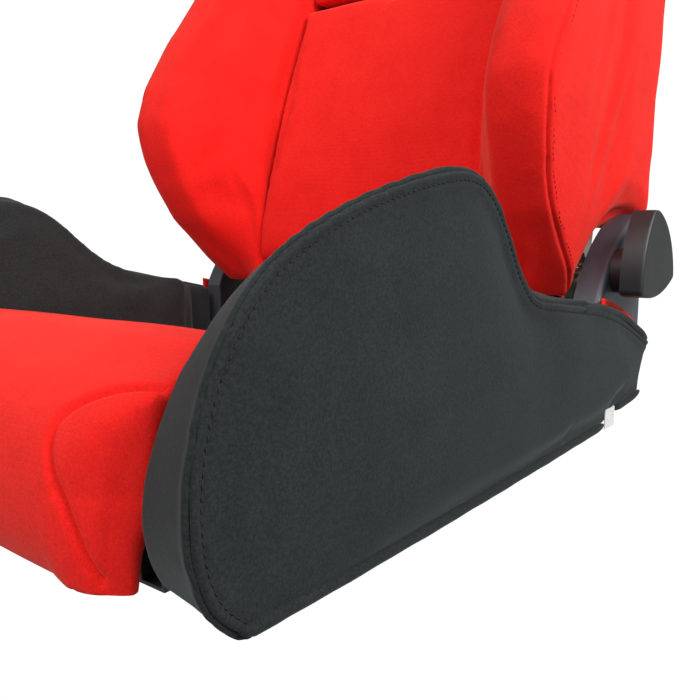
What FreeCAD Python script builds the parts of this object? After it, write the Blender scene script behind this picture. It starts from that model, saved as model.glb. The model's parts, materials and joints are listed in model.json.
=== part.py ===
"""Reclining sport seat: base, locking recliner on each side, and a winged backrest with belt slots.

Frame: millimetres, X across the seat (+X is the sitter's left, the side with the recline lever),
Y from front (-) to rear (+), Z up.  The origin is the centre of the four mounting holes, on the
plane that the base frame stands on.  The backrest turns about a line along X through
(pivot_y, pivot_z).
"""
import FreeCAD
import Part
import Sketcher
import math
import os

Vec = FreeCAD.Vector
OUT = "parts"
LEFT, RIGHT = 1, -1
SIDES = {"left": LEFT, "right": RIGHT}

# ---------------------------------------------------------------- driving dimensions
DRIVING = {
    # mounting and base frame
    "bolt_span_x": 355, "bolt_span_y": 330, "bolt_hole_r": 4,
    "rail_x": 178, "rail_w": 20, "rail_tall": 30, "rail_wall": 2,
    "rail_front": -205, "rail_rear": 300,
    "front_tube_y": -190, "front_tube_z": 15, "front_tube_r": 12.5,
    "mid_tube_y": 168, "rear_tube_y": 287, "rear_tube_z": 11, "rear_tube_r": 10,
    "tube_wall": 2, "spring_wire_r": 1.7, "spring_z_front": 29.6, "spring_z_rear": 23,
    "felt_t": 3,
    # soft base
    "cushion_half": 186, "bolster_in": 192, "bolster_out": 262, "support_t": 2,
    # recliner
    "pivot_y": 282, "pivot_z": 114, "lever_y": 240, "lever_z": 143,
    "bracket_x": 188, "bracket_t": 5, "swing_x": 194, "swing_t": 5,
    "keeper_x": 200.5, "keeper_t": 3, "crank_x": 206, "crank_t": 4,
    "sleeve_r": 9, "sleeve_bore": 4.6, "bush_r": 11.5, "rod_r": 4.5,
    "sector_r": 32, "pawl_pin_r": 4, "crank_len": 12, "shaft_r": 4,
    "cover_r": 137, "cover_in": 222, "cover_out": 246, "cover_wall": 2.5,
    "lever_in": 261, "lever_out": 280,
    # backrest
    "hoop_r": 11, "hoop_wall": 2, "swing_clear": 64, "cover_clear": 84,
    "centre_half": 138, "back_floor_r": 92, "slot_x": 68, "slot_w": 58, "slot_tall": 30,
    "slot_z": 716,
}


class Size(float):
    """A number that remembers the spreadsheet formula it came from."""

    def __new__(cls, value, text):
        made = super().__new__(cls, value)
        made.text = text
        return made


def text_of(value):
    return getattr(value, "text", repr(float(value)))


def combined(sign, work):
    def operate(a, b):
        return Size(work(float(a), float(b)), f"({text_of(a)} {sign} {text_of(b)})")
    return operate


plus = combined("+", lambda a, b: a + b)
minus = combined("-", lambda a, b: a - b)
times = combined("*", lambda a, b: a * b)
over = combined("/", lambda a, b: a / b)
Size.__add__ = plus
Size.__radd__ = lambda a, b: plus(b, a)
Size.__sub__ = minus
Size.__rsub__ = lambda a, b: minus(b, a)
Size.__mul__ = times
Size.__rmul__ = lambda a, b: times(b, a)
Size.__truediv__ = over
Size.__neg__ = lambda a: times(-1, a)

doc = FreeCAD.newDocument("sport_seat")
sheet = doc.addObject("Spreadsheet::Sheet", "Sheet")


class Dims:
    """Every driving dimension by name, as a Size bound to its spreadsheet cell."""


for row, (alias, number) in enumerate(DRIVING.items(), 1):
    sheet.set(f"A{row}", alias)
    sheet.set(f"B{row}", str(number))
    sheet.setAlias(f"B{row}", alias)
    setattr(Dims, alias, Size(number, f"Sheet.{alias}"))
doc.recompute()
D = Dims
kept = []


# ---------------------------------------------------------------- small modelling tools
def bind(thing, path, value):
    if hasattr(value, "text"):
        thing.setExpression(path, value.text)


def role_plane(body, role):
    return next(f for f in body.Origin.OriginFeatures if f.Role == role)


class Piece:
    """One PartDesign body, built from sketches on planes parallel to its origin planes."""

    def __init__(self, label):
        self.body = doc.addObject("PartDesign::Body", "Body_" + label)
        self.body.Label = label
        self.count = 0
        kept.append(self.body)

    def sketch(self, role, offset):
        self.count += 1
        made = self.body.newObject("Sketcher::SketchObject", f"{self.body.Label}_sketch{self.count}")
        made.AttachmentSupport = [(role_plane(self.body, role), "")]
        made.MapMode = "FlatFace"
        made.AttachmentOffset = FreeCAD.Placement(Vec(0, 0, float(offset)), FreeCAD.Rotation())
        bind(made, ".AttachmentOffset.Base.z", offset)
        return made

    def feature(self, kind, sketch, **settings):
        self.count += 1
        made = self.body.newObject("PartDesign::" + kind, f"{self.body.Label}_{kind}{self.count}")
        made.Profile = sketch
        for name, value in settings.items():
            setattr(made, name, float(value) if isinstance(value, Size) else value)
            bind(made, name, value)
        sketch.Visibility = False
        return made

    def pad(self, sketch, length):
        return self.feature("Pad", sketch, Length=length)

    def cut(self, sketch, length, reversed_=True):
        """Removes material along the sketch's normal, or against it."""
        return self.feature("Pocket", sketch, Length=length, Reversed=reversed_)

    def dressed(self, kind, base, edges, **settings):
        self.count += 1
        made = self.body.newObject("PartDesign::" + kind, f"{self.body.Label}_{kind}{self.count}")
        made.Base = (base, edges)
        for name, value in settings.items():
            setattr(made, name, value)
        return made


def fix_point(sketch, geometry, end, at):
    """Holds one point of the sketch at a pair of sizes from the origin."""
    for kind, value in (("DistanceX", at[0]), ("DistanceY", at[1])):
        index = sketch.addConstraint(Sketcher.Constraint(kind, -1, 1, geometry, end, float(value)))
        bind(sketch, f"Constraints[{index}]", value)


def circle(sketch, centre, radius):
    middle = Vec(float(centre[0]), float(centre[1]), 0)
    index = sketch.addGeometry(Part.Circle(middle, Vec(0, 0, 1), float(radius)))
    fix_point(sketch, index, 3, centre)
    rule = sketch.addConstraint(Sketcher.Constraint("Radius", index, float(radius)))
    bind(sketch, f"Constraints[{rule}]", radius)
    return index


def outline(sketch, points):
    """A closed polygon whose corners are all held."""
    flat = [Vec(float(p[0]), float(p[1]), 0) for p in points]
    first = None
    for i, point in enumerate(flat):
        index = sketch.addGeometry(Part.LineSegment(point, flat[(i + 1) % len(flat)]))
        first = index if first is None else first
        fix_point(sketch, index, 1, points[i])
        if i:
            sketch.addConstraint(Sketcher.Constraint("Coincident", index - 1, 2, index, 1))
    sketch.addConstraint(Sketcher.Constraint("Coincident", first + len(flat) - 1, 2, first, 1))


def rectangle(sketch, low, high):
    outline(sketch, [low, (high[0], low[1]), high, (low[0], high[1])])


def side_offset(side, x, thickness):
    """Where a sketch parallel to YZ starts, so that padding +X by thickness gives |X| from x."""
    return x if side == LEFT else -1 * (x + thickness)


def round_edges(piece, base, radius, wanted):
    """Fillets the edges for which wanted(edge) holds."""
    doc.recompute()
    names = [f"Edge{i}" for i, e in enumerate(base.Shape.Edges, 1) if wanted(e)]
    if names:
        piece.dressed("Fillet", base, names, Radius=radius)
    return names


def along(edge, axis):
    """True for a straight edge that runs along X, Y or Z."""
    if edge.Curve.TypeId != "Part::GeomLine":
        return False
    d = edge.Curve.Direction
    return abs((d.x, d.y, d.z)[axis]) > 0.999


def keep_shape(label, shape):
    made = doc.addObject("Part::Feature", label)
    made.Label = label
    made.Shape = shape
    made.Placement = FreeCAD.Placement()
    kept.append(made)
    return made


def polar(radius, degrees, centre=None):
    """A point at a distance and angle round the backrest's pivot, as (y, z)."""
    centre = centre or (D.pivot_y, D.pivot_z)
    turn = math.radians(degrees)
    return centre[0] + radius * math.cos(turn), centre[1] + radius * math.sin(turn)


def rounded_path(points, radii):
    """Straight runs joined by tangent arcs, as one wire."""
    edges, start = [], points[0]
    for i in range(1, len(points) - 1):
        corner = points[i]
        to_last = (points[i - 1] - corner).normalize()
        to_next = (points[i + 1] - corner).normalize()
        half = to_last.getAngle(to_next) / 2
        reach = radii[i - 1] / math.tan(half)
        bisector = (to_last + to_next).normalize()
        centre = corner + bisector * (radii[i - 1] / math.sin(half))
        a, b = corner + to_last * reach, corner + to_next * reach
        middle = centre - bisector * radii[i - 1]
        edges.append(Part.LineSegment(start, a).toShape())
        edges.append(Part.Arc(a, middle, b).toShape())
        start = b
    edges.append(Part.LineSegment(start, points[-1]).toShape())
    return Part.Wire(edges)


def swept_rod(path, radius):
    start = path.Edges[0]
    begin = start.valueAt(start.FirstParameter)
    tangent = start.tangentAt(start.FirstParameter)
    ring = Part.Wire(Part.makeCircle(radius, begin, tangent))
    return path.makePipeShell([ring], True, False)


def curve_face(points_yz, x):
    """A closed face in the plane X = x: stretches are lists of points, joined end to end.

    A stretch of two points is a straight line, and a longer one a smooth curve through them.
    """
    edges = []
    for stretch in points_yz:
        vectors = [Vec(float(x), float(p[0]), float(p[1])) for p in stretch]
        if len(vectors) == 2:
            edges.append(Part.LineSegment(*vectors).toShape())
        else:
            spline = Part.BSplineCurve()
            spline.interpolate(vectors)
            edges.append(spline.toShape())
    return Part.Face(Part.Wire(edges))


def block(low, high):
    size = [float(b) - float(a) for a, b in zip(low, high)]
    return Part.makeBox(*size, Vec(*[float(v) for v in low]))


def prism(points, axis, start, length):
    """A polygon, given in the two other axes in X, Y, Z order, pushed along one axis."""
    def place(p):
        flat = [float(p[0]), float(p[1])]
        flat.insert(axis, float(start))
        return Vec(*flat)
    loop = [place(p) for p in points]
    push = [0.0, 0.0, 0.0]
    push[axis] = float(length)
    return Part.Face(Part.makePolygon(loop + loop[:1])).extrude(Vec(*push))


def rod_x(y, z, radius, x0, x1):
    foot = Vec(float(x0), float(y), float(z))
    return Part.makeCylinder(float(radius), float(x1) - float(x0), foot, Vec(1, 0, 0))


def both_ways(shape):
    """The shape and its mirror image across the seat's middle plane."""
    return {"left": shape, "right": shape.mirror(Vec(0, 0, 0), Vec(1, 0, 0))}


# ---------------------------------------------------------------- base frame
BRACKET_BOLT_Z = Size(16, "16")


def bracket_bolt_places():
    """How far back the two bolts of each recliner bracket stand."""
    return D.pivot_y - 34, D.pivot_y + 4


def base_rail(name, side):
    """Rectangular steel tube along the seat, with two mounting holes in its floor."""
    piece = Piece(f"base_rail_{name}")
    middle = side * D.rail_x
    outer = piece.sketch("XZ_Plane", -1 * D.rail_rear)
    half = D.rail_w / 2
    rectangle(outer, (middle - half, Size(0, "0")), (middle + half, D.rail_tall))
    inner_low = (middle - half + D.rail_wall, D.rail_wall)
    inner_high = (middle + half - D.rail_wall, D.rail_tall - D.rail_wall)
    rectangle(outer, inner_low, inner_high)
    piece.pad(outer, D.rail_rear - D.rail_front)
    holes = piece.sketch("XY_Plane", D.rail_wall)
    for way in (1, -1):
        circle(holes, (side * D.bolt_span_x / 2, way * D.bolt_span_y / 2), D.bolt_hole_r)
    piece.cut(holes, D.rail_wall, reversed_=False)
    wall_x = D.rail_x + D.rail_w / 2 - D.rail_wall
    bolts = piece.sketch("YZ_Plane", side_offset(side, wall_x, D.rail_wall))
    for bolt_y in bracket_bolt_places():
        circle(bolts, (bolt_y, BRACKET_BOLT_Z), Size(5, "5"))
    piece.cut(bolts, D.rail_wall)


def cross_tube(label, y, z, radius):
    piece = Piece(label)
    start = D.rail_w / 2 - D.rail_x
    ring = piece.sketch("YZ_Plane", start)
    circle(ring, (y, z), radius)
    circle(ring, (y, z), radius - D.tube_wall)
    piece.pad(ring, 2 * D.rail_x - D.rail_w)


def weld_nuts():
    """Four hexagon nuts on the rails' floors, in line with the mounting holes."""
    tall, across = 7, 13
    nuts = []
    for sx in (1, -1):
        for sy in (1, -1):
            centre = Vec(float(sx * D.bolt_span_x / 2), float(sy * D.bolt_span_y / 2), float(D.rail_wall))
            corners = [
                centre + Vec(math.cos(math.radians(a)), math.sin(math.radians(a)), 0) * (across / math.sqrt(3))
                for a in range(0, 360, 60)
            ]
            nut = Part.Face(Part.makePolygon(corners + corners[:1])).extrude(Vec(0, 0, tall))
            nuts.append(nut.cut(Part.makeCylinder(float(D.bolt_hole_r), tall, centre)))
    keep_shape("mount_nuts", Part.makeCompound(nuts))


def zigzag(start, end, across, swing, turns):
    """A sinuous wire's path from start to end, swinging to each side along the vector across."""
    step = (end - start) / (2 * turns + 2)
    points = [start, start + step]
    for i in range(2 * turns):
        way = swing if i % 2 == 0 else -swing
        here = start + step * (i + 1)
        points += [here + across * way, here + step + across * way]
    points += [start + step * (2 * turns + 1), end]
    radius = step.Length * 0.46
    return rounded_path(points, [radius] * (len(points) - 2))


def seat_springs():
    wires, clips = [], []
    front = (D.front_tube_y, D.spring_z_front)
    rear = (D.mid_tube_y, D.spring_z_rear)
    for x in (-124, -62, 0, 62, 124):
        a, b = Vec(x, float(front[0]), float(front[1])), Vec(x, float(rear[0]), float(rear[1]))
        wires.append(swept_rod(zigzag(a, b, Vec(1, 0, 0), 21, 7), float(D.spring_wire_r)))
        for at, tube_z, tube_r in ((a, D.front_tube_z, D.front_tube_r), (b, D.rear_tube_z, D.rear_tube_r)):
            clip = block((x - 7, at.y - 7, at.z - 5), (x + 7, at.y + 7, at.z + 3.2))
            clip = clip.cut(rod_x(at.y, tube_z, tube_r + 0.05, x - 8, x + 8))
            lane = Part.makeBox(4.2, 40, 10, Vec(x - 2.1, at.y - 20, at.z - 2))
            clips.append(clip.cut(lane))
    keep_shape("seat_springs", Part.makeCompound(wires))
    keep_shape("seat_spring_clips", Part.makeCompound([s for c in clips for s in c.Solids]))


def spring_felt():
    """The felt between the springs and the foam, sloping down to the rear like them."""
    piece = Piece("spring_felt")
    half = 158
    sketch = piece.sketch("YZ_Plane", Size(-half, str(-half)))
    lift = D.spring_wire_r + 2
    front_y, rear_y = D.front_tube_y + 12, D.mid_tube_y - 10
    low_front, low_rear = D.spring_z_front + lift, D.spring_z_rear + lift
    outline(sketch, [(front_y, low_front), (rear_y, low_rear),
                     (rear_y, low_rear + D.felt_t), (front_y, low_front + D.felt_t)])
    piece.pad(sketch, Size(2 * half, str(2 * half)))


# ---------------------------------------------------------------- soft base
CUSHION_TOP = [(178, 47), (138, 60), (77, 72), (16, 84), (-37, 95), (-85, 103), (-130, 109),
               (-170, 109), (-204, 100), (-225, 80), (-234, 54), (-236, 28), (-228, 4)]
THIGH_FRONT = [(196, 106), (165, 103), (146, 96), (132, 87), (128, 77), (134, 66), (145, 50), (155, 33),
               (164, 14), (168, 2), (196, 2)]
OUTER_HUMP = [(-222, 8), (-240, 26), (-249, 54), (-248, 86), (-236, 124), (-206, 161), (-156, 186),
              (-100, 202), (-49, 210), (-20, 204), (6, 184), (28, 154), (50, 134), (90, 127), (161, 118)]
INNER_HUMP = [(-211, 5), (-219, 22), (-223, 46), (-217, 70), (-203, 97), (-176, 131), (-136, 162),
              (-92, 184), (-46, 199), (-20, 195), (6, 178), (28, 158), (50, 146), (90, 133), (161, 118)]
BOLSTER_REAR = [(161, 118), (221, 104), (292, 78)]
BOLSTER_FOOT = [(292, 78), (274, 47), (275, 29), (205, 25), (188, 17)]


def cushion_solids():
    """The cushion with its round nose, and the D-shaped thigh pads let into its front corners."""
    half = float(D.cushion_half)
    under = [(-206, 4), (-206, 37), (178, 33)]
    stretches = [CUSHION_TOP, [CUSHION_TOP[-1], under[0]], under[:2], under[1:], [under[2], CUSHION_TOP[0]]]
    whole = curve_face(stretches, -half).extrude(Vec(2 * half, 0, 0))
    corner = prism([(128, -260), (half + 2, -260), (half + 2, -206), (162, -227), (128, -238)], 2, 0, 200)
    for cutter in both_ways(corner).values():
        whole = whole.cut(cutter)

    def thigh_zone(gap):
        return prism([(x + gap, z - gap) for x, z in THIGH_FRONT], 1, -262, 262 - 150 - gap)
    cushion = whole
    for zone in both_ways(thigh_zone(0)).values():
        cushion = cushion.cut(zone)
    keep_shape("seat_cushion", max(cushion.Solids, key=lambda solid: solid.Volume))
    for name, zone in both_ways(thigh_zone(0.8)).items():
        pad = whole.common(zone)
        keep_shape(f"thigh_pad_{name}", max(pad.Solids, key=lambda solid: solid.Volume))


def hump_wire(hump, x):
    """The closed side outline of a bolster in the plane at x: hump, rear deck, rear edge and base."""
    foot = BOLSTER_FOOT + [hump[0]]
    stretches = [hump, BOLSTER_REAR] + [list(pair) for pair in zip(foot, foot[1:])]
    edges = []
    for stretch in stretches:
        vectors = [Vec(float(x), float(p[0]), float(p[1])) for p in stretch]
        spline = Part.BSplineCurve()
        spline.interpolate(vectors)
        edges.append(spline.toShape())
    return Part.Wire(edges)


def bolster_solids():
    """The padded sides: thick beside the cushion, a thin flap beside the recliner."""
    x_in, x_out = float(D.bolster_in), float(D.bolster_out)
    whole = Part.makeLoft([hump_wire(INNER_HUMP, x_in), hump_wire(OUTER_HUMP, x_out)], True, True)
    flap = prism([(x_in - 5, 196), (250.5, 196), (250.5, 320), (x_in - 5, 320)], 2, 0, 240)
    waist = prism([(x_in - 5, 120), (226.5, 160), (226.5, 330), (x_in - 5, 330)], 2, 0, 240)
    lean = prism([(x_in - 5, 105), (x_in, 105), (230, 212), (230, 240), (x_in - 5, 240)], 1, -270, 620)
    shaped = whole.cut(flap).cut(waist).cut(lean)
    for name, solid in both_ways(shaped).items():
        keep_shape(f"side_bolster_{name}", solid)


def side_panels():
    """Pressed steel panels on the rails' outer faces, which carry the side bolsters."""
    for name, side in SIDES.items():
        piece = Piece(f"bolster_support_{name}")
        start = side_offset(side, D.rail_x + D.rail_w / 2, D.support_t)
        sketch = piece.sketch("YZ_Plane", start)
        outline(sketch, [(-194, 3), (190, 3), (190, 42), (60, 60), (-90, 84), (-194, 84)])
        pad = piece.pad(sketch, D.support_t)
        round_edges(piece, pad, 8, lambda e: along(e, 0))


def skirts_and_label():
    corners = [(290, 93), (272, 50), (272, 34), (208, 34), (200, 122)]
    flap = [[corners[-1], (240, 112), corners[0]]] + [list(pair) for pair in zip(corners, corners[1:])]
    for name, solid in both_ways(curve_face(flap, 247.6).extrude(Vec(2, 0, 0))).items():
        keep_shape(f"cushion_skirt_{name}", solid)
    keep_shape("care_label", block((262.5, 182, 16), (263.3, 203, 32)))


# ---------------------------------------------------------------- recliners
RUNNING = 0.06  # radial clearance of every turning joint


def recliner_bracket(name, side):
    """The fixed plate: bolted to the rail, it carries the pivot, the pawl pin and the cam shaft."""
    piece = Piece(f"recliner_bracket_{name}")
    y, z = D.pivot_y, D.pivot_z
    sketch = piece.sketch("YZ_Plane", side_offset(side, D.bracket_x, D.bracket_t))
    low = Size(2, "2")
    outline(sketch, [(y - 46, low), (y + 16, low), (y + 26, z - 40), (y + 26, z + 16), (y + 10, z + 30),
                     (y - 33, z + 47), (y - 47, z + 39), (y - 57, z + 20), (y - 58, z - 14)])
    piece.pad(sketch, D.bracket_t)
    holes = piece.sketch("YZ_Plane", side_offset(side, D.bracket_x, D.bracket_t))
    circle(holes, (y, z), D.sleeve_r)
    circle(holes, (D.lever_y, D.lever_z), D.shaft_r + RUNNING)
    circle(holes, pawl_pin(), D.pawl_pin_r)
    for bolt_y in bracket_bolt_places():
        circle(holes, (bolt_y, BRACKET_BOLT_Z), Size(5, "5"))
    piece.cut(holes, D.bracket_t)


def pawl_pin():
    """Where the pawl is hung, in front of the pivot and a little below it."""
    return D.pivot_y - 39.5, D.pivot_z - 6


def keeper_plate(name, side):
    """The outer plate that keeps the moving plates on their pins."""
    piece = Piece(f"keeper_plate_{name}")
    y, z = D.pivot_y, D.pivot_z
    sketch = piece.sketch("YZ_Plane", side_offset(side, D.keeper_x, D.keeper_t))
    outline(sketch, [(y - 50, z - 16), (y + 14, z - 16), (y + 16, z + 10), (y + 2, z + 18), (y - 36, z + 42),
                     (y - 50, z + 34)])
    piece.pad(sketch, D.keeper_t)
    holes = piece.sketch("YZ_Plane", side_offset(side, D.keeper_x, D.keeper_t))
    circle(holes, (y, z), D.sleeve_r)
    circle(holes, (D.lever_y, D.lever_z), D.shaft_r + RUNNING)
    circle(holes, pawl_pin(), D.pawl_pin_r)
    piece.cut(holes, D.keeper_t)


def ring_piece(label, side, x, length, centre, outer, inner=None):
    """A round piece along X: a disc, pin or, with an inner radius, a tube."""
    piece = Piece(label)
    sketch = piece.sketch("YZ_Plane", side_offset(side, x, length))
    circle(sketch, centre, outer)
    if inner is not None:
        circle(sketch, centre, inner)
    piece.pad(sketch, length)
    return piece


def tube_x(y, z, outer, inner, x0, x1):
    """A round bar along X, or a tube when it has an inner radius."""
    made = rod_x(y, z, outer, x0, x1)
    return made.cut(rod_x(y, z, inner, x0 - 1, x1 + 1)) if inner else made


def pivots():
    """Hollow pivot pins, the bushes that turn on them, and the pins that the pawls hang on."""
    y, z = D.pivot_y, D.pivot_z
    x0, x1 = D.bracket_x, D.keeper_x + D.keeper_t
    rows = (("pivot_sleeves", y, z, D.sleeve_r, D.sleeve_bore, x0, x1),
            ("pivot_bushes", y, z, D.bush_r, D.sleeve_r + RUNNING, D.swing_x, D.swing_x + D.swing_t),
            ("pawl_pins", *pawl_pin(), D.pawl_pin_r, None, x0, x1))
    for label, *sizes in rows:
        pair = both_ways(tube_x(*sizes))
        keep_shape(label, Part.makeCompound(list(pair.values())))


TOOTH_STEP = 3.0
TOOTH_DEEP = 1.8
TEETH_FROM, TEETH_TO = 106, 232


def back_plate(name, side):
    """The swinging plate: hub with a toothed sector towards the pawl, and an arm up to the hoop."""
    teeth = []
    r_tip, r_root = float(D.sector_r), float(D.sector_r) - TOOTH_DEEP
    steps = int((TEETH_TO - TEETH_FROM) / TOOTH_STEP)
    for i in range(steps):
        at = TEETH_FROM + i * TOOTH_STEP
        teeth += [polar(r_root, at), polar(r_tip, at + 0.35 * TOOTH_STEP), polar(r_tip, at + 0.65 * TOOTH_STEP)]
    teeth.append(polar(r_root, TEETH_TO))
    lower = [polar(24, a) for a in (240, 270, 300, 330, 0)]
    arm = [(300, 150), (329, 300), (303, 300), (274, 162)]
    x0 = float(side_offset(side, D.swing_x, D.swing_t))
    t = float(D.swing_t)
    plate = prism([(float(p[0]), float(p[1])) for p in arm + teeth + lower], 0, x0, t)
    plate = plate.cut(rod_x(D.pivot_y, D.pivot_z, D.bush_r, x0 - 1, x0 + t + 1))
    for at in hoop_bolt_places():
        plate = plate.cut(rod_x(at[0], at[1], 4.2, x0 - 1, x0 + t + 1))
    keep_shape(f"back_plate_{name}", plate)


def hoop_bolt_places():
    return [(307, 215), (313, 275)]


CAM_GAP = 0.6
PAWL_OUT_R = 42.0


def pawl(name, side):
    """A toothed catch round the front of the sector, 0.4 mm clear of it, hung on its pin."""
    inner, outer = float(D.sector_r) + 0.4, PAWL_OUT_R
    x0, t = float(side_offset(side, D.swing_x, D.swing_t)), float(D.swing_t)
    pin_y, pin_z = [float(v) for v in pawl_pin()]
    low, high = 176, 134
    steps = 7
    outside = [polar(outer, low + (high - low) * i / steps) for i in range(steps + 1)]
    inside = [polar(inner, high + (low - high) * i / steps) for i in range(steps + 1)]
    body = prism([(float(p[0]), float(p[1])) for p in outside + inside], 0, x0, t)
    eye = rod_x(pin_y, pin_z, D.pawl_pin_r + 4.5, x0, x0 + t)
    around = Part.makeCylinder(inner, t, Vec(x0, float(D.pivot_y), float(D.pivot_z)), Vec(1, 0, 0))
    body = body.fuse(eye).cut(around).removeSplitter()
    body = body.cut(rod_x(pin_y, pin_z, D.pawl_pin_r + RUNNING, x0 - 1, x0 + t + 1))
    for i in range(5):
        at = 140 + 1.5 + i * TOOTH_STEP * 1.6
        corners = [polar(inner - 1, at - 1.5), polar(inner - 1, at + 1.5), polar(inner + 1.6, at)]
        notch = prism(corners, 0, x0 - 1, t + 2)
        body = body.cut(notch)
    keep_shape(f"pawl_{name}", body)


def towards_pivot():
    return math.degrees(math.atan2(float(D.pivot_z - D.lever_z), float(D.pivot_y - D.lever_y)))


def cam(name, side):
    """A disc with a flat: its round part bars the pawl until the shaft turns the flat to it."""
    radius = math.hypot(float(D.pivot_y - D.lever_y), float(D.pivot_z - D.lever_z)) - PAWL_OUT_R - CAM_GAP
    x0, t = float(side_offset(side, D.swing_x, D.swing_t)), float(D.swing_t)
    disc = rod_x(D.lever_y, D.lever_z, radius, x0, x0 + t)
    flat = prism([(6, -20), (20, -20), (20, 20), (6, 20)], 0, x0 - 1, t + 2)
    flat.rotate(Vec(), Vec(1, 0, 0), towards_pivot() - 44.5)
    flat.translate(Vec(0, float(D.lever_y), float(D.lever_z)))
    keep_shape(f"cam_{name}", disc.cut(flat).cut(rod_x(D.lever_y, D.lever_z, D.shaft_r, x0 - 1, x0 + t + 1)))


CRANK_ANGLE = 60
LINK_PIN_R = 2.5


def crank(side, x, centre, bore):
    """A flat crank on a shaft, with an eye for the link's pin."""
    t = float(D.crank_t)
    x0 = float(side_offset(side, x, t))
    pin = polar(float(D.crank_len), CRANK_ANGLE, centre)
    turn = math.radians(CRANK_ANGLE + 90)
    wide = Vec(0, math.cos(turn), math.sin(turn)) * 4.5
    a, b = Vec(0, float(centre[0]), float(centre[1])), Vec(0, float(pin[0]), float(pin[1]))
    web = prism([((a + wide).y, (a + wide).z), ((b + wide).y, (b + wide).z),
                 ((b - wide).y, (b - wide).z), ((a - wide).y, (a - wide).z)], 0, x0, t)
    body = web.fuse([rod_x(a.y, a.z, float(bore) + 4.5, x0, x0 + t), rod_x(b.y, b.z, 4.5, x0, x0 + t)])
    body = body.removeSplitter()
    body = body.cut(rod_x(a.y, a.z, bore, x0 - 1, x0 + t + 1))
    return body.cut(rod_x(b.y, b.z, LINK_PIN_R + RUNNING, x0 - 1, x0 + t + 1))


def linkage(name, side):
    """Two equal cranks and a link, a parallelogram that turns cam shaft and sync rod together."""
    lever_at, pivot_at = (D.lever_y, D.lever_z), (D.pivot_y, D.pivot_z)
    keep_shape(f"cam_crank_{name}", crank(side, D.crank_x, lever_at, D.shaft_r))
    keep_shape(f"rod_crank_{name}", crank(side, D.crank_x, pivot_at, D.rod_r))
    x_link = float(D.crank_x + D.crank_t) + 0.4
    t = 3
    x0 = side * (x_link + t / 2) - t / 2
    a, b = polar(float(D.crank_len), CRANK_ANGLE, lever_at), polar(float(D.crank_len), CRANK_ANGLE, pivot_at)
    a, b = [float(v) for v in a], [float(v) for v in b]
    run = Vec(0, b[0] - a[0], b[1] - a[1]).normalize()
    wide = Vec(0, -run.z, run.y) * 3.5
    web = prism([(a[0] + wide.y, a[1] + wide.z), (b[0] + wide.y, b[1] + wide.z),
                 (b[0] - wide.y, b[1] - wide.z), (a[0] - wide.y, a[1] - wide.z)], 0, x0, t)
    ends = [rod_x(p[0], p[1], 4.5, x0, x0 + t) for p in (a, b)]
    pins_x = (float(D.crank_x) * side, x_link * side + side * 1)
    pins = [rod_x(p[0], p[1], LINK_PIN_R, min(pins_x), max(pins_x)) for p in (a, b)]
    keep_shape(f"release_link_{name}", web.fuse(ends + pins).removeSplitter())


def cam_shafts():
    """The lever's shaft runs out through the cover; the other side's ends at its crank."""
    ends = {"left": D.lever_out - 8, "right": D.crank_x + D.crank_t + 5}
    for name, side in SIDES.items():
        length = ends[name] - D.bracket_x
        ring_piece(f"cam_shaft_{name}", side, D.bracket_x, length, (D.lever_y, D.lever_z), D.shaft_r)


def sync_rod():
    """The torsion rod through both hollow pivots, which releases the two sides together."""
    reach = D.crank_x + D.crank_t
    ring_piece("sync_rod", RIGHT, -1 * reach, 2 * reach, (D.pivot_y, D.pivot_z), D.rod_r)


def spiral_springs():
    """The clock springs that bring the backrest forward, inboard of the brackets."""
    x0 = 180.0
    turns, first, step, thick = 3.5, 11.0, 4.2, 1.5
    count = int(turns * 16)
    outer, inner = [], []
    for i in range(count + 1):
        a = 20 + 360 * turns * i / count
        r = first + step * turns * i / count
        outer.append(polar(r + thick, a))
        inner.append(polar(r, a))
    faces = []
    for line in (outer, inner):
        spline = Part.BSplineCurve()
        spline.interpolate([Vec(x0, float(p[0]), float(p[1])) for p in line])
        faces.append(spline.toShape())
    starts, ends = [[e.valueAt(e.ParameterRange[k]) for e in faces] for k in (0, 1)]
    loop = [faces[0], Part.makeLine(ends[0], ends[1]), faces[1], Part.makeLine(starts[1], starts[0])]
    spring = Part.Face(Part.Wire(Part.sortEdges(loop)[0])).extrude(Vec(7, 0, 0))
    keep_shape("return_springs", Part.makeCompound(list(both_ways(spring).values())))


def recliner_bolts():
    """Hexagon bolts that hold each bracket to its rail."""
    bolts = []
    for side in SIDES.values():
        for y in bracket_bolt_places():
            x_face = float(D.bracket_x + D.bracket_t)
            shank = rod_x(y, 16, 4.9, x_face - 7, x_face + 1)
            corners = [(float(y) + 8.5 * math.cos(math.radians(a)), 16 + 8.5 * math.sin(math.radians(a)))
                       for a in range(30, 390, 60)]
            head = prism(corners, 0, x_face, 6).fuse(shank)
            bolts.append(head if side == LEFT else head.mirror(Vec(0, 0, 0), Vec(1, 0, 0)))
    keep_shape("bracket_bolts", Part.makeCompound([b.removeSplitter() for b in bolts]))


def cover_outline(inset, back, low):
    """The cover's side view: a long arc that rises to the rear, over a straight back and foot."""
    radius = float(D.cover_r) - inset

    def on_arc(angle):
        turn = math.radians(angle)
        return Vec(float(D.cover_in), float(D.pivot_y) + 48 + radius * math.cos(turn),
                   float(D.pivot_z) - 54 + radius * math.sin(turn))
    start, middle, top = [on_arc(angle) for angle in (157, 131, 105)]
    corners = [top] + [Vec(top.x, y, z) for y, z in ((back, top.z - 3), (back, low), (start.y, low))] + [start]
    edges = [Part.Arc(start, middle, top).toShape()]
    edges += [Part.makeLine(a, b) for a, b in zip(corners, corners[1:])]
    return Part.Face(Part.Wire(edges))


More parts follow.
